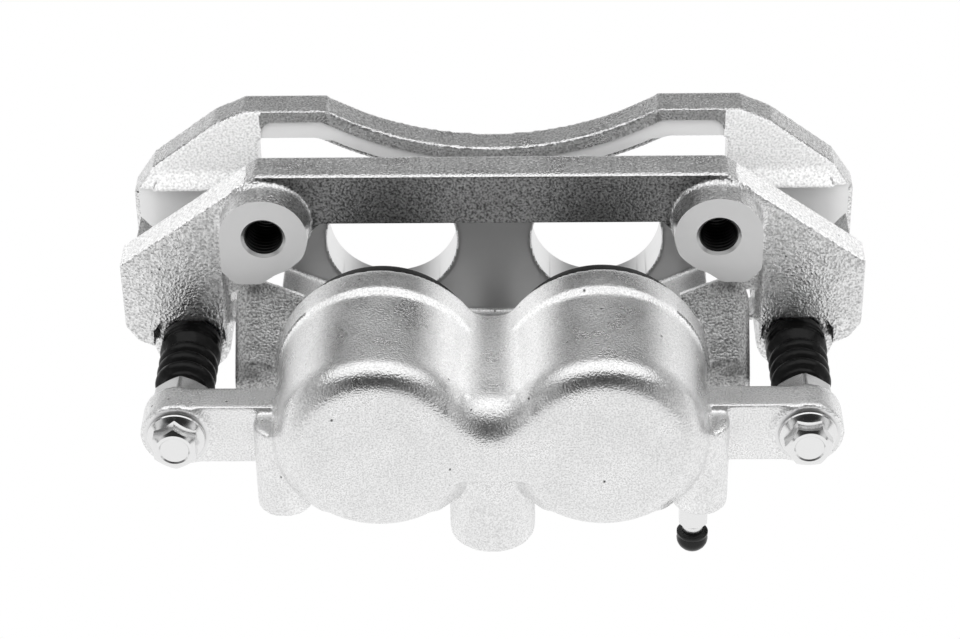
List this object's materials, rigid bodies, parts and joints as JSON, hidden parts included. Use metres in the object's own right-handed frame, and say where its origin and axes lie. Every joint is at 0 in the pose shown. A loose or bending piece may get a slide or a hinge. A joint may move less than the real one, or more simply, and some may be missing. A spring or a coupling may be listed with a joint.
{
  "type": "sliding disc brake caliper",
  "caption": "Sliding brake caliper with twin pistons, on an anchor bracket with an outboard arch; guide pins, boots, bleeder and hose port.",
  "frame": {"origin": "midway between the two bracket bolt holes, on the plane of their machined faces", "axes": "+X along the disc's edge, +Y towards the outboard side of the wheel, +Z towards the wheel hub"},
  "size_m": [0.271, 0.152, 0.1231],
  "materials": {
    "bracket_casting": "zinc-plated casting, machined faces",
    "housing_casting": "zinc-plated casting, machined faces",
    "piston_steel": "ground and plated",
    "seal_rubber": "smooth",
    "boot_rubber": "moulded, slightly glossy",
    "cap_rubber": "moulded, glossy",
    "plain_steel": "plain",
    "zinc_steel": "zinc-plated"
  },
  "bodies": {
    "bracket": {"anchor_bracket": "bracket_casting", "pin_boot_left": "boot_rubber", "pin_boot_right": "boot_rubber"},
    "housing": {"caliper_housing": "housing_casting", "piston_seal_left": "seal_rubber", "piston_seal_right": "seal_rubber", "dust_boot_left": "boot_rubber", "dust_boot_right": "boot_rubber", "boot_ring_left": "plain_steel", "boot_ring_right": "plain_steel", "guide_pin_left": "zinc_steel", "guide_pin_right": "zinc_steel", "pin_bushing": "seal_rubber", "guide_bolt_left": "zinc_steel", "guide_bolt_right": "zinc_steel", "passage_plug": "plain_steel"},
    "left_piston": {"piston_left": "piston_steel"},
    "right_piston": {"piston_right": "piston_steel"},
    "bleeder": {"bleeder_screw": "zinc_steel"},
    "cap": {"bleeder_cap": "cap_rubber"}
  },
  "joints": [
    {"name": "housing_slide", "type": "slide", "parent": "bracket", "child": "housing", "axis": [0, 1, 0], "range_m": [-0.012, 0.003], "deforming": ["pin_boot_left", "pin_boot_right"]},
    {"name": "left_piston_slide", "type": "slide", "parent": "housing", "child": "left_piston", "axis": [0, 1, 0], "range_m": [-0.001, 0.014], "deforming": ["dust_boot_left"]},
    {"name": "right_piston_slide", "type": "slide", "parent": "housing", "child": "right_piston", "axis": [0, 1, 0], "range_m": [-0.001, 0.014], "deforming": ["dust_boot_right"]},
    {"name": "bleeder_turn", "type": "hinge", "parent": "housing", "child": "bleeder", "pos_m": [0.072, -0.045, -0.0825], "axis": [0, 0, -1], "range_deg": [0, 270]},
    {"name": "cap_pull", "type": "slide", "parent": "bleeder", "child": "cap", "axis": [0, 0, -1], "range_m": [0, 0.012]}
  ]
}
